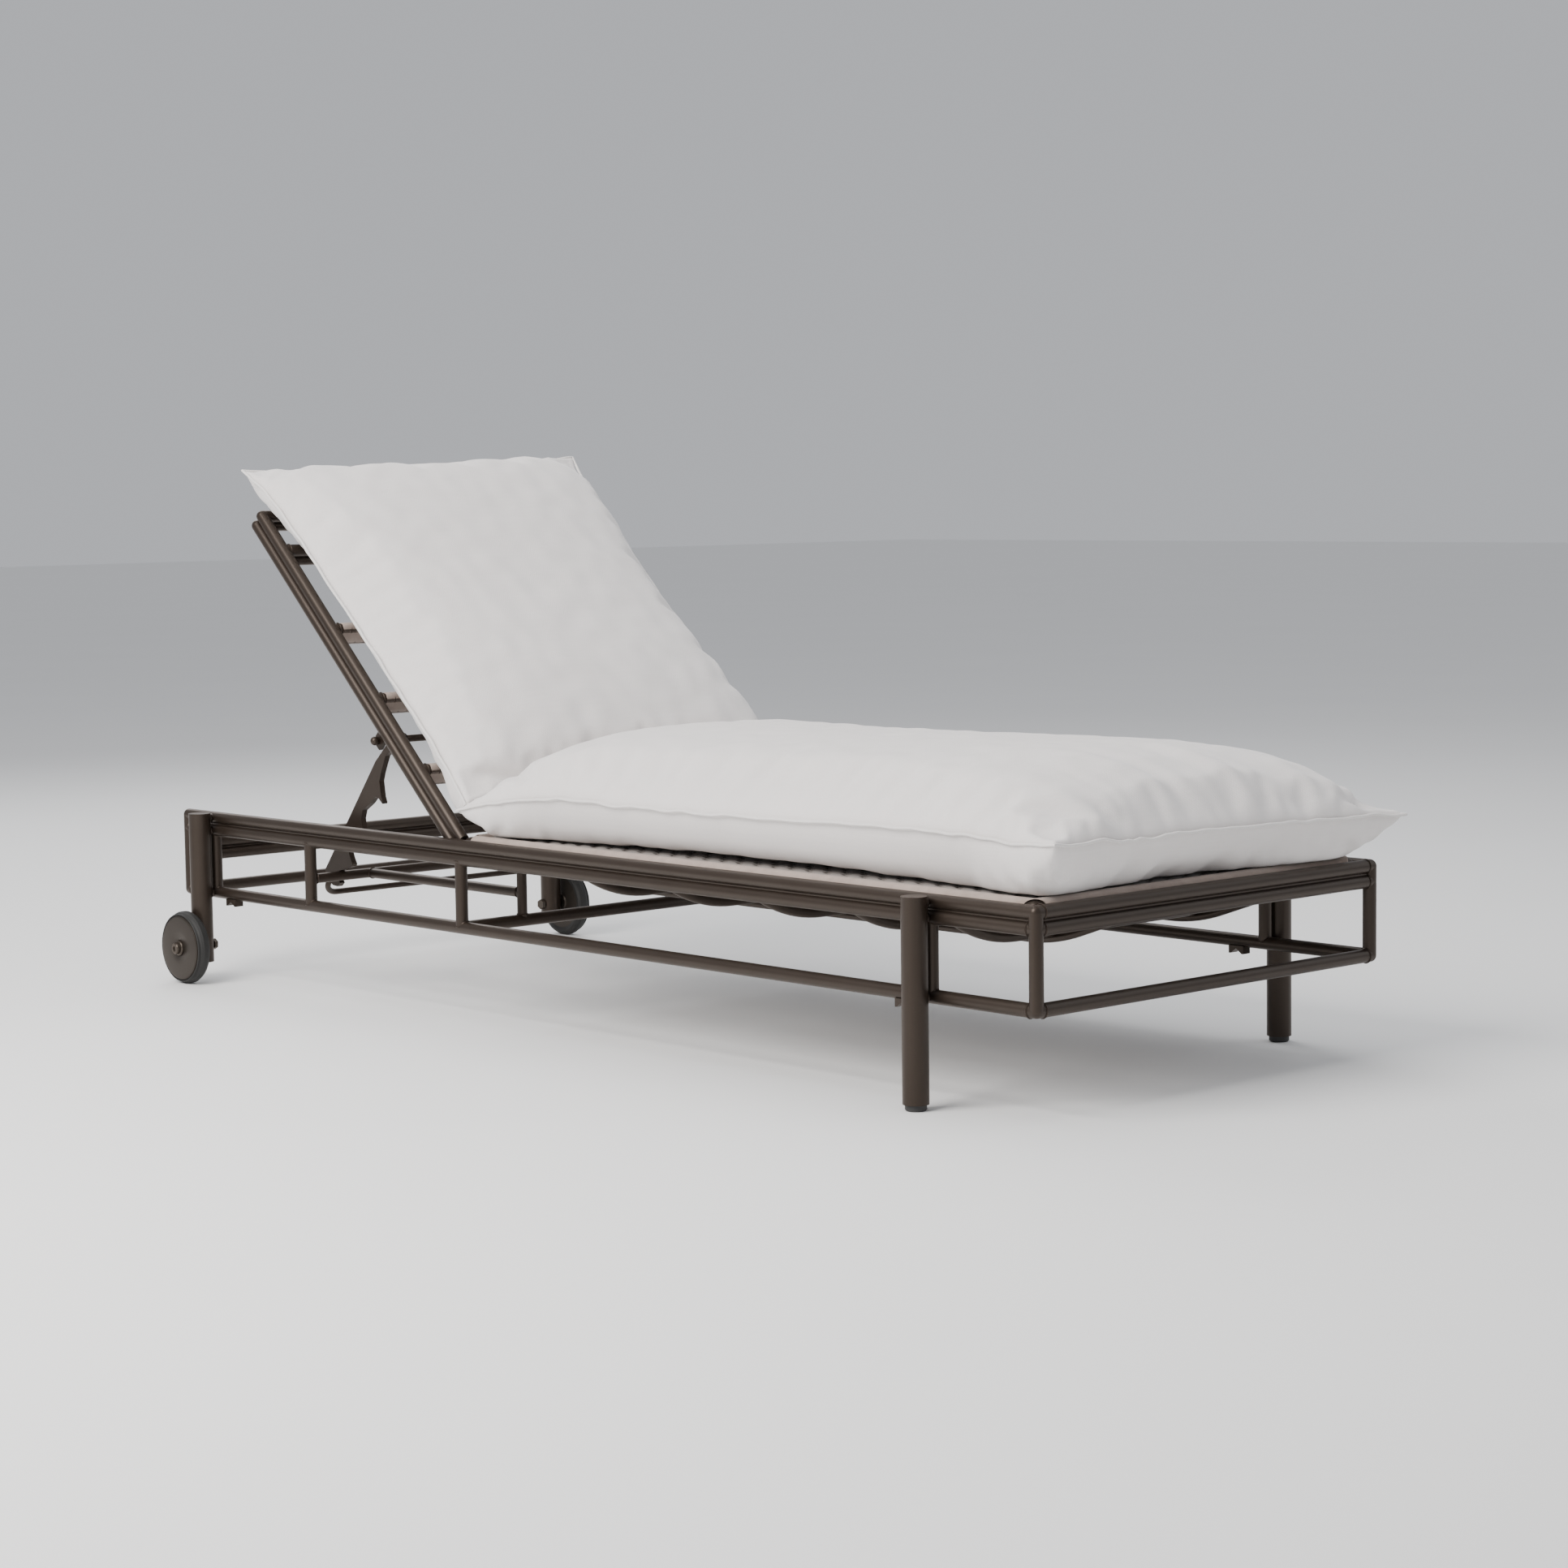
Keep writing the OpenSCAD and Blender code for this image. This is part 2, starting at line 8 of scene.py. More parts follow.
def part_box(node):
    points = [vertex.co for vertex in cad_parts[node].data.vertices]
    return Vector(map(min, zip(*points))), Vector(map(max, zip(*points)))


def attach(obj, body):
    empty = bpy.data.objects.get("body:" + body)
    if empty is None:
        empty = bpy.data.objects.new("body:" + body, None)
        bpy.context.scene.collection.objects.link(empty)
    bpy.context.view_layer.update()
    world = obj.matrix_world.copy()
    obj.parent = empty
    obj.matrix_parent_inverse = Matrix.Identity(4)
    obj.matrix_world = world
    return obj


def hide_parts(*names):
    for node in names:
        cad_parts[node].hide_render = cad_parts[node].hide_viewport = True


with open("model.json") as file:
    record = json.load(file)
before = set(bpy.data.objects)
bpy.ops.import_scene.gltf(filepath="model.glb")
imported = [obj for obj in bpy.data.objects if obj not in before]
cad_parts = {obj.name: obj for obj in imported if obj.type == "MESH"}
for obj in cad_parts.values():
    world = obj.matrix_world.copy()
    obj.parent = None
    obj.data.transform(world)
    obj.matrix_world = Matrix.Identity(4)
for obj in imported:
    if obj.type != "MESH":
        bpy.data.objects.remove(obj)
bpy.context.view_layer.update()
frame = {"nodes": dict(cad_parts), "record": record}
bpy.ops.object.select_all(action="DESELECT")
scene = bpy.context.scene

# sizes shared by several pieces, in metres, in the frame of the CAD
layout = {
    "sideX": 0.3525, "railZ": 0.283, "lowZ": 0.261, "stretcherZ": 0.1525, "tubeR": 0.010,
    "footY": -0.990, "headY": 1.040, "headDrop": 0.052, "deckX": 0.3293, "deckZ": 0.285,
    "deckFootY": -0.9668, "deckHeadY": 0.257, "wrapEndY": 0.245,
    "hingeY": 0.2785, "hingeZ": 0.272, "recline": math.radians(43.4), "backX": 0.328,
    "pairOff": 0.011, "legX": 0.385, "legR": 0.0185, "frontLegY": -0.796, "rearLegY": 0.958,
    "midPostY": 0.672, "hingePostY": 0.255, "slimR": 0.0082, "wheelX": 0.4195, "wheelZ": 0.0625,
    "innerX": 0.2315, "supportZ": 0.1974, "slats": (0.165, 0.326, 0.488), "upperPair": 0.677,
    "topPair": 0.761,
}


camera = {"place": (-3.5396, -3.9884, 0.8507), "yaw": 0.7410, "pitch": 0.0900, "roll": -0.01375,
          "lens": 77.11, "sensor": 36}


def addCamera():
    data = bpy.data.cameras.new("camera")
    data.lens = camera["lens"]
    data.sensor_width = camera["sensor"]
    eye = bpy.data.objects.new("camera", data)
    turn = Matrix.Rotation(-camera["yaw"], 4, "Z")
    turn = turn @ Matrix.Rotation(math.pi / 2 - camera["pitch"], 4, "X")
    turn = turn @ Matrix.Rotation(camera["roll"], 4, "Z")
    eye.matrix_world = Matrix.Translation(camera["place"]) @ turn
    scene.collection.objects.link(eye)
    scene.camera = eye
    print("camera placed")


lights = [
    {"name": "key", "place": (-3.4, -0.2, 2.9), "aim": (0, 0, 0.3), "size": 2.6, "power": 265,
     "tint": (1, 0.97, 0.94)},
    {"name": "fill", "place": (2.8, -2.8, 2.6), "aim": (0, 0, 0.3), "size": 3.6, "power": 26,
     "tint": (0.94, 0.97, 1)},
    {"name": "back", "place": (1.2, 3.4, 3.0), "aim": (0, 0.4, 0.4), "size": 2.6, "power": 70,
     "tint": (1, 1, 1)},
    {"name": "top", "place": (0, 0, 4.2), "aim": (0, 0, 0), "size": 4.0, "power": 60, "tint": (1, 1, 1)},
]

sky = {"colour": (0.93, 0.95, 1.0, 1), "strength": 0.56}


def addLights():
    for one in lights:
        data = bpy.data.lights.new(one["name"], "AREA")
        data.size = one["size"]
        data.energy = one["power"]
        data.color = one["tint"]
        lamp = bpy.data.objects.new(one["name"], data)
        lamp.location = one["place"]
        way = Vector(one["aim"]) - Vector(one["place"])
        lamp.rotation_euler = way.to_track_quat("-Z", "Y").to_euler()
        scene.collection.objects.link(lamp)
    world = bpy.data.worlds.new("studio")
    world.use_nodes = True
    background = world.node_tree.nodes["Background"]
    background.inputs["Color"].default_value = sky["colour"]
    background.inputs["Strength"].default_value = sky["strength"]
    scene.world = world
    print("lights hung")


def finishPiece(piece, body, material, replaced=()):
    piece.data.materials.clear()
    piece.data.materials.append(material)
    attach(piece, body)
    for node in replaced:
        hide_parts(node)
    bpy.ops.object.select_all(action="DESELECT")


def active(name):
    piece = bpy.context.active_object
    piece.name = name
    piece.data.name = name
    return piece


def applyPlace(piece):
    bpy.ops.object.select_all(action="DESELECT")
    piece.select_set(True)
    bpy.context.view_layer.objects.active = piece
    bpy.ops.object.transform_apply(location=True, rotation=True, scale=True)


def joinPieces(parts, name):
    bpy.ops.object.select_all(action="DESELECT")
    for part in parts:
        part.select_set(True)
    bpy.context.view_layer.objects.active = parts[0]
    if len(parts) > 1:
        bpy.ops.object.join()
    piece = active(name)
    applyPlace(piece)
    return piece


def smooth(piece, angle=40):
    bpy.ops.object.select_all(action="DESELECT")
    piece.select_set(True)
    bpy.context.view_layer.objects.active = piece
    bpy.ops.object.shade_smooth_by_angle(angle=math.radians(angle))


def addModifier(piece, kind, **values):
    bpy.ops.object.select_all(action="DESELECT")
    piece.select_set(True)
    bpy.context.view_layer.objects.active = piece
    mod = piece.modifiers.new("step", kind)
    for key, value in values.items():
        setattr(mod, key, value)
    bpy.ops.object.modifier_apply(modifier=mod.name)


def onBack(x, along, up):
    c, s = math.cos(layout["recline"]), math.sin(layout["recline"])
    return Vector((x, layout["hingeY"] + along * c - up * s, layout["hingeZ"] + along * s + up * c))


def leanBack(piece):
    # from the back's own level place to where it stands
    piece.location = (0, layout["hingeY"], layout["hingeZ"])
    piece.rotation_euler = (layout["recline"], 0, 0)
    applyPlace(piece)


def makeGroup(name, inputs, outputs):
    group = bpy.data.node_groups.new(name, "ShaderNodeTree")
    for label, kind, value in inputs:
        socket = group.interface.new_socket(name=label, in_out="INPUT", socket_type=kind)
        socket.default_value = value
    for label, kind in outputs:
        group.interface.new_socket(name=label, in_out="OUTPUT", socket_type=kind)
    enter = group.nodes.new("NodeGroupInput")
    leave = group.nodes.new("NodeGroupOutput")
    return group, enter, leave


def mathNode(tree, operation, first, second=None):
    node = tree.nodes.new("ShaderNodeMath")
    node.operation = operation
    for slot, value in ((0, first), (1, second)):
        if value is None:
            continue
        if isinstance(value, (int, float)):
            node.inputs[slot].default_value = value
        else:
            tree.links.new(value, node.inputs[slot])
    return node.outputs[0]


def mixColours(tree, factor, first, second):
    node = tree.nodes.new("ShaderNodeMix")
    node.data_type = "RGBA"
    for slot, value in ((0, factor), (6, first), (7, second)):
        if isinstance(value, (int, float)):
            node.inputs[slot].default_value = value
        elif isinstance(value, tuple):
            node.inputs[slot].default_value = (*value, 1) if len(value) == 3 else value
        else:
            tree.links.new(value, node.inputs[slot])
    return node.outputs[2]


def noiseNode(tree, vector, scale, detail=3.0, roughness=0.5):
    node = tree.nodes.new("ShaderNodeTexNoise")
    tree.links.new(vector, node.inputs["Vector"])
    if isinstance(scale, (int, float)):
        node.inputs["Scale"].default_value = scale
    else:
        tree.links.new(scale, node.inputs["Scale"])
    node.inputs["Detail"].default_value = detail
    node.inputs["Roughness"].default_value = roughness
    return node.outputs[0]


def coatGroup():
    # fine flecks of the powder coat, and cloudy dust
    group, enter, leave = makeGroup(
        "powderCoat",
        [("Vector", "NodeSocketVector", (0, 0, 0)), ("Fleck", "NodeSocketFloat", 900.0),
         ("Dust", "NodeSocketFloat", 0.25)],
        [("Mask", "NodeSocketFloat"), ("Dust", "NodeSocketFloat"), ("Height", "NodeSocketFloat")])
    fleck = noiseNode(group, enter.outputs["Vector"], enter.outputs["Fleck"], 2.0)
    cloud = noiseNode(group, enter.outputs["Vector"], 14.0, 5.0, 0.6)
    dust = mathNode(group, "MULTIPLY", mathNode(group, "SMOOTH_MIN", cloud, 0.75), enter.outputs["Dust"])
    group.links.new(fleck, leave.inputs["Mask"])
    group.links.new(dust, leave.inputs["Dust"])
    group.links.new(mathNode(group, "MULTIPLY", fleck, 0.6), leave.inputs["Height"])
    return group


def weaveGroup():
    # threads along all three axes, uneven slubs along X, and slow clouds of tone
    group, enter, leave = makeGroup(
        "canvasWeave",
        [("Vector", "NodeSocketVector", (0, 0, 0)), ("Threads", "NodeSocketFloat", 1400.0)],
        [("Height", "NodeSocketFloat"), ("Slub", "NodeSocketFloat"), ("Cloud", "NodeSocketFloat")])
    split = group.nodes.new("ShaderNodeSeparateXYZ")
    group.links.new(enter.outputs["Vector"], split.inputs[0])
    waves = []
    for axis in range(3):
        scaled = mathNode(group, "MULTIPLY", split.outputs[axis], enter.outputs["Threads"])
        waves.append(mathNode(group, "SINE", scaled))
    flat = mathNode(group, "MULTIPLY", waves[0], mathNode(group, "ADD", waves[1], waves[2]))
    fuzz = noiseNode(group, enter.outputs["Vector"], 700.0, 3.0)
    threads = mathNode(group, "MULTIPLY", flat, 0.25)
    height = mathNode(group, "ADD", threads, mathNode(group, "MULTIPLY", fuzz, 0.6))
    stretch = group.nodes.new("ShaderNodeVectorMath")
    stretch.operation = "MULTIPLY"
    stretch.inputs[1].default_value = (12, 260, 260)
    group.links.new(enter.outputs["Vector"], stretch.inputs[0])
    slub = noiseNode(group, stretch.outputs[0], 1.0, 2.0)
    cloud = noiseNode(group, enter.outputs["Vector"], 5.0, 4.0)
    group.links.new(height, leave.inputs["Height"])
    group.links.new(slub, leave.inputs["Slub"])
    group.links.new(cloud, leave.inputs["Cloud"])
    return group


groups = {}


def placeGroup(tree, name, vector, **values):
    node = tree.nodes.new("ShaderNodeGroup")
    node.node_tree = groups[name]
    tree.links.new(vector, node.inputs["Vector"])
    for key, value in values.items():
        node.inputs[key].default_value = value
    return node


def newMaterial(name, metallic=0.0, sheen=0.0, specular=0.5, tint=(1, 1, 1)):
    material = bpy.data.materials.new(name)
    material.use_nodes = True
    tree = material.node_tree
    shader = tree.nodes["Principled BSDF"]
    shader.inputs["Metallic"].default_value = metallic
    shader.inputs["Sheen Weight"].default_value = sheen
    shader.inputs["Specular IOR Level"].default_value = specular
    shader.inputs["Specular Tint"].default_value = (*tint, 1)
    place = tree.nodes.new("ShaderNodeTexCoord").outputs["Object"]
    return material, tree, shader, place


def bumpFrom(tree, shader, height, strength, distance):
    bump = tree.nodes.new("ShaderNodeBump")
    bump.inputs["Strength"].default_value = strength
    bump.inputs["Distance"].default_value = distance
    tree.links.new(height, bump.inputs["Height"])
    tree.links.new(bump.outputs[0], shader.inputs["Normal"])


def coatMaterial(name, dark, light, metallic, rough, fleck=900.0, dust=0.25, strength=0.12):
    material, tree, shader, place = newMaterial(name, metallic, tint=(1, 0.86, 0.76))
    coat = placeGroup(tree, "powderCoat", place, Fleck=fleck, Dust=dust)
    flecked = mixColours(tree, coat.outputs["Mask"], dark, light)
    dusty = mixColours(tree, coat.outputs["Dust"], flecked, (0.36, 0.33, 0.30))
    tree.links.new(dusty, shader.inputs["Base Color"])
    tree.links.new(mathNode(tree, "ADD", mathNode(tree, "MULTIPLY", coat.outputs["Dust"], 0.8), rough),
                   shader.inputs["Roughness"])
    bumpFrom(tree, shader, coat.outputs["Height"], strength, 0.0004)
    return material


def ropeMaterial(name, dark, light, stretchBy):
    material, tree, shader, place = newMaterial(name, 0.0, 0.25, 0.25)
    stretch = tree.nodes.new("ShaderNodeVectorMath")
    stretch.operation = "MULTIPLY"
    stretch.inputs[1].default_value = stretchBy
    tree.links.new(place, stretch.inputs[0])
    streak = noiseNode(tree, stretch.outputs[0], 1.0, 3.0, 0.6)
    cloud = noiseNode(tree, place, 9.0, 3.0)
    base = mixColours(tree, streak, dark, light)
    shade = mixColours(tree, mathNode(tree, "MULTIPLY", cloud, 0.5), base, tuple(0.75 * c for c in dark))
    tree.links.new(shade, shader.inputs["Base Color"])
    fine = noiseNode(tree, place, 1500.0, 2.0)
    rough = mathNode(tree, "ADD", mathNode(tree, "MULTIPLY", fine, 0.1), 0.76)
    tree.links.new(rough, shader.inputs["Roughness"])
    bumpFrom(tree, shader, mathNode(tree, "ADD", streak, fine), 0.5, 0.0006)
    return material


def canvasMaterial(name, base, shade):
    material, tree, shader, place = newMaterial(name, 0.0, 0.3, 0.2)
    weave = placeGroup(tree, "canvasWeave", place)
    tone = mixColours(tree, mathNode(tree, "MULTIPLY", weave.outputs["Slub"], 0.5), base, shade)
    cloudy = mixColours(tree, mathNode(tree, "MULTIPLY", weave.outputs["Cloud"], 0.3), tone, shade)
    tree.links.new(cloudy, shader.inputs["Base Color"])
    tree.links.new(mathNode(tree, "ADD", mathNode(tree, "MULTIPLY", weave.outputs["Slub"], 0.08), 0.84),
                   shader.inputs["Roughness"])
    bumpFrom(tree, shader, weave.outputs["Height"], 0.22, 0.0008)
    return material


def rubberMaterial(name, dark, light, rough):
    material, tree, shader, place = newMaterial(name, 0.0, 0.0, 0.35)
    coat = placeGroup(tree, "powderCoat", place, Fleck=500.0, Dust=0.3)
    tree.links.new(mixColours(tree, coat.outputs["Dust"], dark, light), shader.inputs["Base Color"])
    tree.links.new(mathNode(tree, "ADD", mathNode(tree, "MULTIPLY", coat.outputs["Mask"], 0.15), rough),
                   shader.inputs["Roughness"])
    bumpFrom(tree, shader, coat.outputs["Height"], 0.2, 0.0005)
    return material


def floorMaterial():
    material, tree, shader, place = newMaterial("paleFloor")
    cloud = noiseNode(tree, place, 1.5, 3.0)
    pale = mixColours(tree, cloud, (0.86, 0.86, 0.855), (0.89, 0.89, 0.885))
    tree.links.new(pale, shader.inputs["Base Color"])
    shader.inputs["Roughness"].default_value = 0.7
    return material


groups["powderCoat"] = coatGroup()
groups["canvasWeave"] = weaveGroup()
looks = {
    "frame": coatMaterial("bronzeCoat", (0.012, 0.0078, 0.0052), (0.023, 0.0152, 0.0108), 0.25, 0.36,
                          dust=0.03),
    "weld": coatMaterial("bronzeWeld", (0.016, 0.0105, 0.0072), (0.028, 0.019, 0.0135), 0.3, 0.38,
                         dust=0.03),
    "bolt": coatMaterial("bronzeBolt", (0.035, 0.028, 0.022), (0.055, 0.045, 0.037), 0.5, 0.28, dust=0.03),
    "wheel": coatMaterial("bronzeDisc", (0.011, 0.009, 0.0072), (0.019, 0.016, 0.013), 0.3, 0.40,
                          dust=0.04),
    "rope": ropeMaterial("taupeRope", (0.31, 0.245, 0.21), (0.52, 0.43, 0.375), (60, 60, 60)),
    # the deck weave's bands: the taupe rope's colour darkened and greyed, painted shade of the cushion lying
    # over the deck
    "band": ropeMaterial("shadedRopeBand", (0.245, 0.215, 0.195), (0.40, 0.36, 0.33), (400, 400, 400)),
    "canvas": canvasMaterial("warmCanvas", (0.775, 0.745, 0.728), (0.67, 0.63, 0.61)),
    "piping": canvasMaterial("canvasPiping", (0.76, 0.735, 0.715), (0.66, 0.63, 0.605)),
    "plastic": rubberMaterial("blackPlastic", (0.022, 0.022, 0.022), (0.07, 0.068, 0.066), 0.42),
    "rubber": rubberMaterial("blackRubber", (0.02, 0.02, 0.02), (0.08, 0.078, 0.075), 0.7),
    "tyre": rubberMaterial("tyreRubber", (0.013, 0.013, 0.0125), (0.05, 0.048, 0.046), 0.55),
}


def dressFrame():
    for entry in frame["record"]["subparts"]:
        piece = frame["nodes"][entry["node"]]
        piece.data.materials.clear()
        piece.data.materials.append(looks[entry["material_slot"]])
    bpy.ops.object.select_all(action="DESELECT")
    print("frame dressed")


cushions = {
    "seat": {"halfWide": 0.344, "ear": 0.015, "nearEar": 0.015, "foot": -1.036, "head": 0.243,
             "endEar": 0.014, "low": 0.2988, "seam": 0.367, "crown": 0.094, "sideReach": 0.315,
             "endReach": 0.26, "cells": (64, 116), "swell": 0.012, "body": "frame",
             "node": "seat_cushion", "under": 0.055, "footUnder": 0.130,
             "gather": 0.026, "gatherReach": 0.15, "footLimit": -1.052},
    "back": {"halfWide": 0.337, "ear": 0.021, "nearEar": 0.010, "foot": 0.036, "head": 0.838,
             "endEar": 0.010, "low": 0.0238, "seam": 0.068, "crown": 0.072, "sideReach": 0.30,
             "endReach": 0.25, "cells": (64, 76), "swell": 0.014, "body": "backrest",
             "node": "back_cushion", "under": 0.045, "footUnder": 0.045,
             "gather": 0.006, "gatherReach": 0.12, "footLimit": 0.0305},
}
cushionForm = {"earCurve": 7, "crownCurve": 2.3, "seamWave": 0.004, "seamTilt": 0.006, "seamDrop": 0.034,
               "dropLength": 0.25, "shift": 0.011, "headTilt": 0.010, "headBack": 0.003,
               "headDrop": 0.018, "footTilt": 0.010, "pipingRadius": 0.0022, "wrinkle": 26,
               "wrinkleTop": 0.0035, "wrinkleLow": 0.001}
cushionCloth = {"pressure": 4.0, "quality": 6, "stretch": 25, "bend": 0.25, "shrink": -0.04, "frames": 20}
slant = {"y": 0.2985, "z": 0.2926, "slope": 0.9455}


def easeOut(distance, reach):
    part = min(max(distance / reach, 0), 1)
    return math.sqrt(max(0, 1 - (1 - part) ** cushionForm["crownCurve"]))


def slantLimit(z):
    # the seat cushion's head end lies against the bottom of the back cushion
    return slant["y"] - slant["slope"] * (z - slant["z"])


def pillowPoint(spec, u, v, top):
    # a point of the cover; u runs across and v along the cushion, both from -1 to 1
    form, isBack = cushionForm, spec["node"] == "back_cushion"
    middle, half = (spec["foot"] + spec["head"]) / 2, (spec["head"] - spec["foot"]) / 2
    ear = spec["ear"] if u > 0 else spec["nearEar"]
    wide = spec["halfWide"] + ear * abs(v) ** form["earCurve"]
    long = half + spec["endEar"] * abs(u) ** form["earCurve"]
    x, y = u * wide, middle + v * long
    side, end = (1 - abs(u)) * wide, (1 - abs(v)) * long
    if isBack:
        x += form["shift"] * (1 + u)
        if v > 0:
            y += (form["headTilt"] * u - form["headBack"]) * v ** 2
    elif v < 0:
        y += form["footTilt"] * (1 - u) * v ** 2
    seam = spec["seam"] - form["seamWave"] * math.sin(3.2 * v + 0.6) - form["seamTilt"] * (x / wide)
    if not isBack and y > 0.0:
        seam -= form["seamDrop"] * (y / form["dropLength"]) ** 1.6
    if isBack and v > 0:
        seam -= (form["headDrop"] - 0.010 * u) * v ** 3
    if top:
        z = seam + spec["crown"] * easeOut(side, spec["sideReach"]) * easeOut(end, spec["endReach"])
    else:
        endUnder = spec["footUnder"] if v < 0 else spec["under"]
        drop = min(1, easeOut(side, spec["under"]) * easeOut(end, endUnder) * 1.02)
        z = seam - (seam - spec["low"]) * drop
    return Vector((x, y, z))


def pillowSheet(name, spec, top):
    across, along = spec["cells"]
    bpy.ops.mesh.primitive_grid_add(x_subdivisions=across, y_subdivisions=along, size=2)
    sheet = active(name)
    rim = []
    for vert in sheet.data.vertices:
        u, v = vert.co.x, vert.co.y
        if max(abs(u), abs(v)) > 0.999:
            rim.append(vert.index)
        spread = math.sin(u * math.pi / 2) * 0.35 + u * 0.65
        reach = math.sin(v * math.pi / 2) * 0.35 + v * 0.65
        vert.co = pillowPoint(spec, spread, reach, top)
    group = sheet.vertex_groups.new(name="seam")
    group.add(rim, 1.0, "REPLACE")
    return sheet


def seamLoop(piece):
    # the seam's points in order round the cushion
    index = piece.vertex_groups["seam"].index
    rim = {v.index for v in piece.data.vertices
           if any(g.group == index and g.weight > 0.5 for g in v.groups)}
    near = {}
    for edge in piece.data.edges:
        a, b = edge.vertices
        if a in rim and b in rim:
            near.setdefault(a, []).append(b)
            near.setdefault(b, []).append(a)
    start = min(rim)
    loop, last, here = [start], None, start
    while True:
        ahead = [n for n in near[here] if n != last]
        if not ahead or ahead[0] == start and last is not None:
            break
        last, here = here, ahead[0]
        if here == start:
            break
        loop.append(here)
    return [piece.data.vertices[i].co.copy() for i in loop]


def tubeAlong(name, points, radius, closed, sides=3):
    curve = bpy.data.curves.new(name, "CURVE")
    curve.dimensions = "3D"
    curve.bevel_depth = radius
    curve.bevel_resolution = sides
    curve.use_fill_caps = True
    line = curve.splines.new("POLY")
    line.points.add(len(points) - 1)
    for point, co in zip(line.points, points):
        point.co = (*co, 1)
    line.use_cyclic_u = closed
    piece = bpy.data.objects.new(name, curve)
    scene.collection.objects.link(piece)
    bpy.ops.object.select_all(action="DESELECT")
    piece.select_set(True)
    bpy.context.view_layer.objects.active = piece
    bpy.ops.object.convert(target="MESH")
    return active(name)


def keepInside(spec, co):
    if co.z < spec["low"]:
        co.z = spec["low"]
    if spec["node"] == "seat_cushion":
        co.y = min(co.y, slantLimit(co.z))
    co.y = max(co.y, spec["footLimit"])
    return co


def faceOut(piece):
    # the pressure pushes along the normals, so they have to point out
    shell = bmesh.new()
    shell.from_mesh(piece.data)
    inward = shell.calc_volume(signed=True) < 0
    shell.free()
    if inward:
        piece.data.flip_normals()


folds = {"clear": 0.004, "start": 0.03, "unevenReach": 9, "lean": 0.12, "wave": 17, "waveRun": 2.4,
         "crease": 24, "creaseRun": 2.0, "waveShare": 0.6, "creaseShare": 0.8}


def gatherFoot(piece, spec):
    # folds that run in from the seam at the cushion's foot, uneven in width and length
    for vert in piece.data.vertices:
        inward = vert.co.y - spec["foot"]
        lift = vert.co.z - spec["seam"]
        if lift < folds["clear"] or inward < folds["clear"]:
            continue
        uneven = noise.noise(Vector((vert.co.x * folds["unevenReach"], 3.1, 0)))
        reach = spec["gatherReach"] * (1 + 0.5 * uneven)
        fade = math.exp(-(inward / reach) ** 2) * min(1, inward / folds["start"])
        across = vert.co.x + folds["lean"] * inward
        wave = noise.noise(Vector((across * folds["wave"], inward * folds["waveRun"], 1.7)))
        crease = abs(noise.noise(Vector((across * folds["crease"], inward * folds["creaseRun"], 8.3))))
        height = folds["waveShare"] * wave + folds["creaseShare"] * (0.16 - crease) - 0.08
        vert.co.z += spec["gather"] * fade * height


def fillCushion(piece, spec):
    # cloth under pressure with its seam held; each point stays within its cap
    before = [v.co.copy() for v in piece.data.vertices]
    mod = piece.modifiers.new("fill", "CLOTH")
    setup = mod.settings
    setup.use_pressure = True
    setup.uniform_pressure_force = cushionCloth["pressure"]
    setup.effector_weights.gravity = 0
    setup.quality = cushionCloth["quality"]
    setup.tension_stiffness = cushionCloth["stretch"]
    setup.compression_stiffness = cushionCloth["stretch"]
    setup.bending_stiffness = cushionCloth["bend"]
    setup.shrink_min = cushionCloth["shrink"]
    setup.vertex_group_mass = "seam"
    mod.point_cache.frame_start = 1
    mod.point_cache.frame_end = cushionCloth["frames"]
    for step in range(1, cushionCloth["frames"] + 1):
        scene.frame_set(step)
    bpy.ops.object.select_all(action="DESELECT")
    piece.select_set(True)
    bpy.context.view_layer.objects.active = piece
    bpy.ops.object.modifier_apply(modifier=mod.name)
    scene.frame_set(1)
    for vert, start in zip(piece.data.vertices, before):
        move = vert.co - start
        if move.length > spec["swell"]:
            move = move.normalized() * spec["swell"]
        vert.co = keepInside(spec, start + move)


def makeCushion(label):
    spec = cushions[label]
    sheets = [pillowSheet(label + "Top", spec, True), pillowSheet(label + "Low", spec, False)]
    piece = joinPieces(sheets, label + "CushionCover")
    bpy.ops.object.mode_set(mode="EDIT")
    bpy.ops.mesh.select_all(action="SELECT")
    bpy.ops.mesh.remove_doubles(threshold=0.0005)
    bpy.ops.mesh.normals_make_consistent(inside=False)
    bpy.ops.object.mode_set(mode="OBJECT")
    faceOut(piece)
    for vert in piece.data.vertices:
        vert.co = keepInside(spec, vert.co.copy())
        if vert.co.z > spec["low"] + 0.01:
            above = vert.co.z > spec["seam"] - 0.015
            depth = cushionForm["wrinkleTop"] if above else cushionForm["wrinkleLow"]
            vert.co.z += depth * noise.noise(vert.co * cushionForm["wrinkle"])
    fillCushion(piece, spec)
    gatherFoot(piece, spec)
    loop = seamLoop(piece)
    addModifier(piece, "SUBSURF", levels=1, render_levels=1)
    for vert in piece.data.vertices:
        vert.co = keepInside(spec, vert.co.copy())
    piece.vertex_groups.clear()
    piping = tubeAlong(label + "CushionSeam", loop, cushionForm["pipingRadius"], True)
    smooth(piping, 60)
    smooth(piece, 75)
    if label == "back":
        for one in (piece, piping):
            leanBack(one)
    finishPiece(piece, spec["body"], looks["canvas"], [spec["node"]])
    finishPiece(piping, spec["body"], looks["piping"])
    print(label, "cushion made", len(piece.data.vertices))


rope = {"strands": 8, "group": 0.0172, "outer": 0.0131, "groove": 0.0125, "gap": 0.0121,
        "gapShare": 0.07, "mitre": 0.06, "headShort": 0.026}


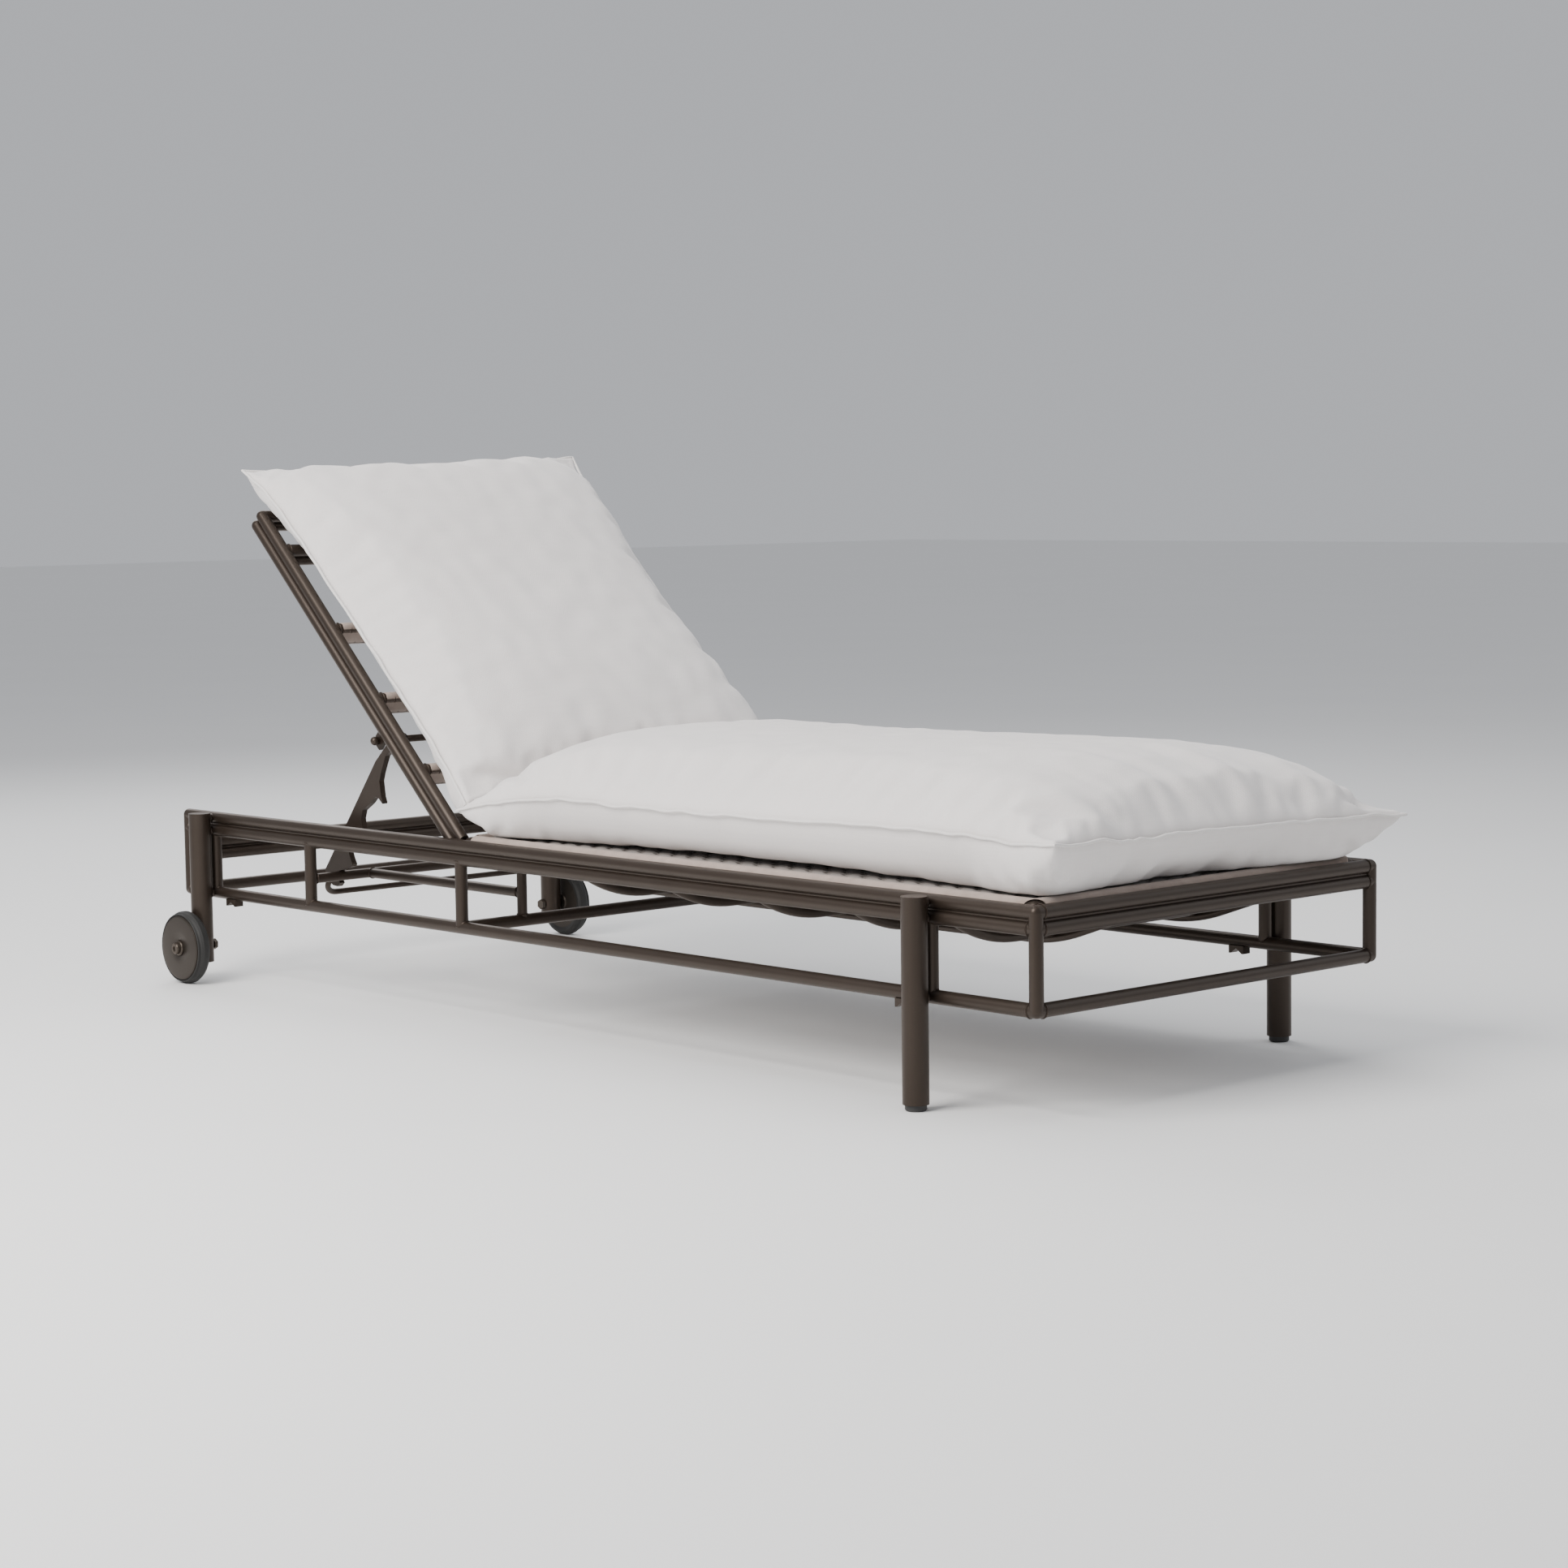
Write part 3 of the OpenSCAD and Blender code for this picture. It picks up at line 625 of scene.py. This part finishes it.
def strandStations(length, spec):
    # places along a wrap, and how far out its surface stands there
    count = max(1, round(length / spec["group"]))
    step = length / count
    stations = []
    for group in range(count):
        start = group * step
        gapWide = step * rope["gapShare"]
        stations.append((start, spec["gap"]))
        body = step - gapWide
        for strand in range(spec["strands"]):
            left = start + gapWide / 2 + body * strand / spec["strands"]
            if strand:
                stations.append((left, spec["groove"]))
            stations.append((left + body / spec["strands"] * 0.5, spec["outer"]))
    stations.append((length, spec["gap"]))
    return stations


def ringSleeve(name, stations, outline, sides=20):
    # a ring extruded from station to station along +Y and resized at each
    bpy.ops.mesh.primitive_circle_add(vertices=sides, radius=1, rotation=(math.pi / 2, 0, 0))
    sleeve = active(name)
    applyPlace(sleeve)
    ring = [v.co.copy() for v in sleeve.data.vertices]
    bpy.ops.object.mode_set(mode="EDIT")
    bpy.ops.mesh.select_all(action="SELECT")
    for _ in range(len(stations) - 1):
        bpy.ops.mesh.extrude_region_move(TRANSFORM_OT_translate={"value": (0, 1, 0)})
    bpy.ops.object.mode_set(mode="OBJECT")
    count = len(ring)
    rows = sorted(range(len(sleeve.data.vertices)), key=lambda i: round(sleeve.data.vertices[i].co.y))
    for row, (place, out) in enumerate(stations):
        for i in rows[row * count:(row + 1) * count]:
            co = sleeve.data.vertices[i].co
            turn = math.atan2(co.z, co.x)
            x, z = outline(turn, out)
            co.x, co.z, co.y = x, z, place
    return sleeve


def roundOutline(turn, out):
    return out * math.cos(turn), out * math.sin(turn)


def mitre(sleeve, footMitre, headMitre, length):
    # leans the rings near an end until the last one lies at 45 degrees, to meet the next wrap
    reach = rope["mitre"]
    for vert in sleeve.data.vertices:
        x, y = vert.co.x, vert.co.y
        if footMitre and y < reach:
            vert.co.y += -x * footMitre * (1 - y / reach)
        if headMitre and y > length - reach:
            vert.co.y += x * headMitre * (1 - (length - y) / reach)


def ropeWraps():
    deckX, footY, headY = layout["deckX"], layout["deckFootY"], layout["deckHeadY"]
    sideLength = layout["wrapEndY"] - footY
    for side, label in ((-1, "left"), (1, "right")):
        sleeve = ringSleeve("ropeSide_" + label, strandStations(sideLength, rope), roundOutline)
        mitre(sleeve, -side, 0, sideLength)
        sleeve.location = (side * deckX, footY, layout["deckZ"])
        applyPlace(sleeve)
        smooth(sleeve, 80)
        finishPiece(sleeve, "frame", looks["rope"], ["rope_wrap_" + label])
    endLength = 2 * deckX
    for y, label, cut in ((footY, "foot", 1), (headY, "head", 0)):
        length = endLength if cut else endLength - rope["headShort"]
        sleeve = ringSleeve("ropeEnd_" + label, strandStations(length, rope), roundOutline)
        mitre(sleeve, cut, cut, length)
        sleeve.rotation_euler = (0, 0, math.pi / 2)
        sleeve.location = (length / 2, y, layout["deckZ"])
        applyPlace(sleeve)
        smooth(sleeve, 80)
        finishPiece(sleeve, "frame", looks["rope"], ["rope_wrap_" + label])
    print("deck wrapped")


slatRope = {"strands": 8, "group": 0.0172, "outer": 0.0118, "groove": 0.0112, "gap": 0.0108,
            "short": 0.030, "squareness": 0.85}


def slatOutline(turn, out):
    # a long oval round two tubes: x is along the back, z is front to rear
    rise = math.copysign(abs(math.sin(turn)) ** slatRope["squareness"], math.sin(turn))
    return out * math.cos(turn), (out + layout["pairOff"]) * rise


def slatWraps():
    wide = 2 * layout["backX"] - slatRope["short"]
    for number, along in enumerate(layout["slats"]):
        sleeve = ringSleeve(f"slatRope_{number + 1}", strandStations(wide, slatRope), slatOutline)
        sleeve.rotation_euler = (0, 0, math.pi / 2)
        sleeve.location = (wide / 2, along, 0)
        applyPlace(sleeve)
        leanBack(sleeve)
        smooth(sleeve, 80)
        finishPiece(sleeve, "backrest", looks["rope"], [f"slat_wrap_{number + 1}"])
    print("slats wrapped")


runner = {"x": 0.150, "radius": 0.006, "footY": -0.835, "headY": 0.108, "bend": 0.30,
          "footTurn": math.radians(19), "headTurn": math.radians(25), "footTail": 0.162, "headTail": 0.166,
          "steps": 9}


def runnerEnd(y, way, turn, tail, z):
    # the bend from level to the turned-up end, then the straight tail
    reach = runner["bend"] * math.tan(turn / 2)
    steps, points = runner["steps"], []
    for step in range(steps + 1):
        part = turn * step / steps
        points.append(Vector((0, y + way * (runner["bend"] * math.sin(part) - reach),
                              z + runner["bend"] * (1 - math.cos(part)))))
    points.append(Vector((0, y + way * tail * math.cos(turn), z + tail * math.sin(turn))))
    return points


def seatRunners():
    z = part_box("seat_runners")[0][2] + runner["radius"]
    foot = runnerEnd(runner["footY"], -1, runner["footTurn"], runner["footTail"], z)
    head = runnerEnd(runner["headY"], 1, runner["headTurn"], runner["headTail"], z)
    rods = []
    for side in (-1, 1):
        path = [point + Vector((side * runner["x"], 0, 0)) for point in foot[::-1] + head]
        rods.append(tubeAlong("runnerRod", path, runner["radius"], False, 4))
    piece = joinPieces(rods, "seatRunnerRods")
    smooth(piece, 50)
    finishPiece(piece, "frame", looks["frame"], ["seat_runners"])
    print("runners bent")


weave = {"pitch": 0.0186, "band": 0.0165, "thick": 0.0012, "lift": 0.0016, "z": 0.2925, "edge": 0.004,
         "crown": 0.0004}


def bandStrip(name, length, cells, phase):
    bpy.ops.mesh.primitive_grid_add(x_subdivisions=cells * 2, y_subdivisions=2, size=1)
    strip = active(name)
    for vert in strip.data.vertices:
        place = (vert.co.x + 0.5) * cells
        rise = math.sin(math.pi * (place + phase)) * weave["lift"]
        rise -= weave["crown"] * abs(vert.co.y) * 2
        vert.co = Vector((vert.co.x * length, vert.co.y * weave["band"], rise))
    addModifier(strip, "SOLIDIFY", thickness=weave["thick"], offset=0)
    return strip


def seatWeave():
    edge = weave["edge"]
    x = layout["deckX"] - edge
    foot, head = layout["deckFootY"] + edge, layout["deckHeadY"] - edge
    wide, long, middle = 2 * x, head - foot, (foot + head) / 2
    across, down = round(long / weave["pitch"]), round(wide / weave["pitch"])
    bands = []
    for quarter, count, cells, length, span in ((0, across, down, wide, long), (1, down, across, long, wide)):
        for phase in (0, 1):
            strip = bandStrip(f"band{quarter}{phase}", length, cells, phase + 0.5 + quarter)
            strip.rotation_euler = (0, 0, quarter * math.pi / 2)
            applyPlace(strip)
            step = span / count
            number = (count + 1 - phase) // 2
            offset = (2 * step, 0, 0) if quarter else (0, 2 * step, 0)
            addModifier(strip, "ARRAY", count=number, use_relative_offset=False,
                        use_constant_offset=True, constant_offset_displace=offset)
            start = -span / 2 + step * (0.5 + phase)
            place = (start, middle) if quarter else (0, middle + start)
            strip.location = (*place, weave["z"])
            applyPlace(strip)
            bands.append(strip)
    piece = joinPieces(bands, "seatBands")
    smooth(piece, 50)
    # the bands take the rope colour darkened as painted shade of the cushion above them
    finishPiece(piece, "frame", looks["band"], ["seat_weave"])
    print("seat woven", len(piece.data.polygons))


weld = {"proud": 0.0004, "section": 0.0014, "stubR": 0.007, "stubGap": 0.0005}


def weldRing(place, way, radius, saddle=0):
    # a bead where a tube of this radius meets one of radius saddle; 0 is a flat meeting
    bpy.ops.mesh.primitive_torus_add(major_radius=radius + weld["proud"] * 0.5,
                                     minor_radius=weld["section"], major_segments=20,
                                     minor_segments=5, location=(0, 0, 0))
    ring = active("weldBead")
    if saddle:
        for vert in ring.data.vertices:
            reach = min(abs(vert.co.y), saddle * 0.98)
            vert.co.z -= saddle - math.sqrt(saddle ** 2 - reach ** 2)
    ring.rotation_mode = "QUATERNION"
    ring.rotation_quaternion = way.to_track_quat("Z", "Y")
    ring.location = place
    applyPlace(ring)
    return ring


def postWelds(x, y):
    # the beads at the foot and the top of a side post, saddled over the tubes that run along Y
    r, beads = layout["tubeR"], []
    for z, flip in ((layout["stretcherZ"] + r, 0), (layout["lowZ"] - r, math.pi)):
        ring = weldRing((0, 0, 0), Vector((0, 0, 1)), r, r)
        ring.data.transform(Matrix.Rotation(math.pi / 2, 4, "Z"))
        if flip:
            ring.data.transform(Matrix.Rotation(flip, 4, "X"))
        ring.data.transform(Matrix.Translation((x, y, z)))
        beads.append(ring)
    return beads


def sideWelds(side):
    r, slim, x = layout["tubeR"], layout["slimR"], side * layout["sideX"]
    low, stretcher, support = layout["lowZ"], layout["stretcherZ"], layout["supportZ"]
    across, beads = Vector((-side, 0, 0)), []
    for y in (layout["frontLegY"], layout["hingePostY"], layout["midPostY"], layout["rearLegY"]):
        beads += postWelds(x, y)
    for y in (layout["footY"], layout["headY"]):
        inward = 1 if y < 0 else -1
        for z in (stretcher, low):
            beads.append(weldRing((x, y + inward * r, z), Vector((0, inward, 0)), r))
        drop = layout["headDrop"] if y > 0 else 0
        for z in (stretcher, low - drop, layout["railZ"] - drop):
            beads.append(weldRing((x - side * r, y, z), across, r))
    for y in (layout["frontLegY"], layout["rearLegY"]):
        for z in (stretcher, low, layout["railZ"]):
            stub = side * (layout["legX"] - layout["legR"] - weld["stubGap"])
            beads.append(weldRing((stub, y, z), across, weld["stubR"]))
    beads.append(weldRing((x - side * r, layout["midPostY"], support), across, slim))
    beads.append(weldRing((x - side * r, layout["hingePostY"], stretcher), across, r))
    inner = side * layout["innerX"]
    beads.append(weldRing((inner, layout["midPostY"] - slim, support), Vector((0, -1, 0)), slim))
    beads.append(weldRing((inner, layout["hingePostY"] + slim, support), Vector((0, 1, 0)), slim))
    beads.append(weldRing((inner, layout["hingePostY"], stretcher + r), Vector((0, 0, 1)), slim))
    return beads


def frameWelds():
    piece = joinPieces(sideWelds(-1) + sideWelds(1), "frameWeldBeads")
    smooth(piece, 60)
    finishPiece(piece, "frame", looks["weld"])
    r, beads = layout["tubeR"], []
    for side in (-1, 1):
        for along in (*layout["slats"], layout["upperPair"]):
            for off in (-1, 1):
                place = onBack(side * (layout["backX"] - r), along, off * layout["pairOff"])
                beads.append(weldRing(place, Vector((-side, 0, 0)), r))
    piece = joinPieces(beads, "backWeldBeads")
    smooth(piece, 60)
    finishPiece(piece, "backrest", looks["weld"])
    print("welds laid")


# the two tubes of each pair are joined by a narrow strip in the groove between them
web = {"wide": 0.0075, "thick": 0.0032, "backLong": 0.725, "backMiddle": 0.385, "softEdge": 0.0008}


def webStrip(size, place):
    bpy.ops.mesh.primitive_cube_add(size=1, location=place, scale=size)
    strip = active("web")
    applyPlace(strip)
    return strip


def pairWebs():
    middle, r = (layout["railZ"] + layout["lowZ"]) / 2, layout["tubeR"]
    sideX, backX, footY, headY = layout["sideX"], layout["backX"], layout["footY"], layout["headY"]
    long, wide = headY - footY - 2 * r, 2 * (sideX - r)
    across, thick = web["wide"], web["thick"]
    strips = [webStrip((across, long, thick), (side * sideX, (headY + footY) / 2, middle))
              for side in (-1, 1)]
    for y, drop in ((footY, 0), (headY, layout["headDrop"])):
        strips.append(webStrip((wide, across, thick), (0, y, middle - drop)))
    piece = joinPieces(strips, "railWebs")
    addModifier(piece, "BEVEL", width=web["softEdge"], segments=2)
    finishPiece(piece, "frame", looks["frame"])
    strips = [webStrip((across, web["backLong"], thick), (side * backX, web["backMiddle"], 0))
              for side in (-1, 1)]
    for along in (layout["upperPair"], layout["topPair"]):
        strips.append(webStrip((2 * (backX - r), across, thick), (0, along, 0)))
    piece = joinPieces(strips, "backWebs")
    addModifier(piece, "BEVEL", width=web["softEdge"], segments=2)
    leanBack(piece)
    finishPiece(piece, "backrest", looks["frame"])
    print("pairs joined")


def turned(name, profile, place, side, segments=64):
    # a profile of (radius, outward), a ring extruded from step to step along the wheel's axis
    piece = ringSleeve(name, [(out, radius) for radius, out in profile], roundOutline, segments)
    bpy.ops.object.mode_set(mode="EDIT")
    bpy.ops.mesh.select_all(action="SELECT")
    bpy.ops.mesh.remove_doubles(threshold=0.00001)
    bpy.ops.mesh.normals_make_consistent(inside=False)
    bpy.ops.object.mode_set(mode="OBJECT")
    piece.rotation_euler = (0, 0, -side * math.pi / 2)
    piece.location = place
    applyPlace(piece)
    smooth(piece, 30)
    return piece


# outlines as (radius, outward) from the wheel's middle
wheelProfiles = {
    "face": [(0.0134, 0.0128), (0.0150, 0.0136), (0.0300, 0.0138), (0.0515, 0.0136), (0.0533, 0.0133),
             (0.0545, 0.0124), (0.0545, 0.0110), (0.0134, 0.0110), (0.0134, 0.0128)],
    "bolt": [(0.0000, 0.0190), (0.0040, 0.0190), (0.0041, 0.0232), (0.0062, 0.0238), (0.0085, 0.0234),
             (0.0098, 0.0222), (0.0103, 0.0205), (0.0103, 0.0170), (0.0116, 0.0166), (0.0127, 0.0158),
             (0.0132, 0.0148), (0.0132, 0.0133), (0.0, 0.0133), (0.0, 0.0190)],
    "ridge": [(0.0560, 0.0116), (0.0572, 0.0124), (0.0584, 0.0116), (0.0590, 0.0100), (0.0560, 0.0100),
              (0.0560, 0.0116)],
}


def wheelDetails():
    for side, label in ((-1, "left"), (1, "right")):
        place = (side * layout["wheelX"], layout["rearLegY"], layout["wheelZ"])
        face = turned("wheelFace_" + label, wheelProfiles["face"], place, side)
        finishPiece(face, "wheel_" + label, looks["wheel"])
        head = turned("boltFace_" + label, wheelProfiles["bolt"], place, side, 32)
        finishPiece(head, "frame", looks["bolt"])
        ridge = turned("tyreRidge_" + label, wheelProfiles["ridge"], place, side)
        finishPiece(ridge, "wheel_" + label, looks["tyre"])
    print("wheels detailed")


addCamera()
addLights()
dressFrame()
makeCushion("seat")
makeCushion("back")
ropeWraps()
slatWraps()
seatRunners()
seatWeave()
frameWelds()
pairWebs()
wheelDetails()

bpy.ops.mesh.primitive_plane_add(size=60, location=(0, 0, 0))
floor = active("floor")
floor.data.materials.append(floorMaterial())
print("floor laid")
bpy.ops.object.select_all(action="DESELECT")
